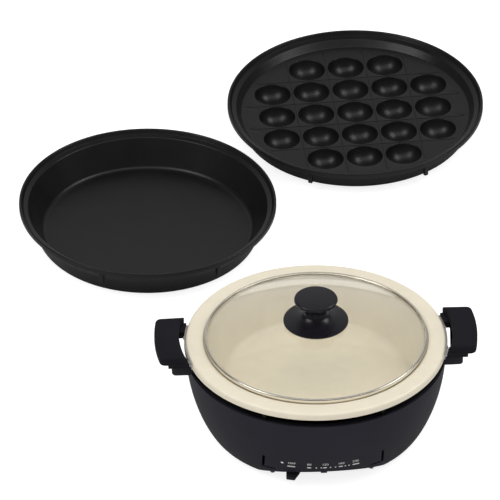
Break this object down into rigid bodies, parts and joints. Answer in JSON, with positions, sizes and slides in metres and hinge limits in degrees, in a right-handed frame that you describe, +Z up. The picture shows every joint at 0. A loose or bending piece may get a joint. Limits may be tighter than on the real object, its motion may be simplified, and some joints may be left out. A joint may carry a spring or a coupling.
{
  "type": "electric grill pan",
  "caption": "Round electric grill pan: heater base with front lever, lift-off deep pot with side grips, glass lid, and flat and ball-pocket spare plates.",
  "frame": {"origin": "centre of the heater base's footprint, on the table", "axes": "+Z up; the control lever faces -Y; +X is the user's right; the spare plates lie on the table towards +Y"},
  "size_m": [0.5684, 0.9133, 0.18],
  "materials": {
    "body_plastic": "satin",
    "black_plastic": "satin",
    "grip_plastic": "satin",
    "knob_plastic": "semi-gloss",
    "cream_coating": "smooth ceramic coating",
    "black_coating": "fine non-stick coating",
    "lid_glass": "clear",
    "steel": "brushed",
    "coated_steel": "satin",
    "element_sheath": "oxidised",
    "sensor_aluminium": "satin",
    "brass": "plain",
    "rubber": "matte",
    "ceramic": "matte",
    "wire_sleeve": "woven sleeve",
    "lamp_lens": "translucent"
  },
  "bodies": {
    "base": {"body_shell": "body_plastic", "guard_ring": "black_plastic", "left_ear": "black_plastic", "right_ear": "black_plastic", "ear_screws": "steel", "control_panel": "black_plastic", "control_panel_screws": "steel", "bottom_cover": "coated_steel", "bottom_screws": "steel", "rubber_foot_front_left": "rubber", "rubber_foot_front_right": "rubber", "rubber_foot_back_left": "rubber", "rubber_foot_back_right": "rubber", "heat_shield": "steel", "shield_screws": "steel", "heating_element": "element_sheath", "element_terminals": "brass", "element_clamps": "steel", "clamp_rivets": "steel", "thermostat_body": "ceramic", "thermostat_bracket": "steel", "sensor_spring": "steel", "thermal_fuse": "ceramic", "inner_wires": "wire_sleeve", "lamp_lens": "lamp_lens", "lamp_holder": "black_plastic", "inlet_housing": "black_plastic", "inlet_pins": "brass", "inlet_magnet_plate": "steel"},
    "sensor": {"sensor_cap": "sensor_aluminium"},
    "lever": {"lever_spindle": "brass", "lever_arm": "steel", "lever_finger": "black_plastic"},
    "pot": {"deep_pot": "cream_coating", "left_grip": "grip_plastic", "right_grip": "grip_plastic", "left_grip_bracket": "steel", "right_grip_bracket": "steel", "bracket_rivets": "steel", "grip_screws": "steel"},
    "lid": {"lid_glass": "lid_glass", "lid_band": "steel", "knob_skirt": "knob_plastic", "lid_knob": "knob_plastic", "knob_screw": "steel", "knob_washer": "rubber"},
    "flat_plate": {"flat_plate": "black_coating"},
    "ball_plate": {"ball_plate": "black_coating"}
  },
  "joints": [
    {"name": "pot_lift", "type": "slide", "parent": "base", "child": "pot", "axis": [0, 0, 1], "range_m": [0, 0.12]},
    {"name": "lid_lift", "type": "slide", "parent": "pot", "child": "lid", "axis": [0, 0, 1], "range_m": [0, 0.12]},
    {"name": "lever_swing", "type": "hinge", "parent": "base", "child": "lever", "pos_m": [0, 0, 0.02], "axis": [0, 0, 1], "range_deg": [0, 33.2]},
    {"name": "sensor_press", "type": "slide", "parent": "base", "child": "sensor", "axis": [0, 0, 1], "range_m": [-0.002, 0], "stiffness_N_per_m": 300, "springref_m": 0.002, "deforming": ["sensor_spring"]},
    {"name": "flat_plate_lift", "type": "slide", "parent": "base", "child": "flat_plate", "axis": [0, 0, 1], "range_m": [0, 0.12]},
    {"name": "ball_plate_lift", "type": "slide", "parent": "base", "child": "ball_plate", "axis": [0, 0, 1], "range_m": [0, 0.12]}
  ]
}
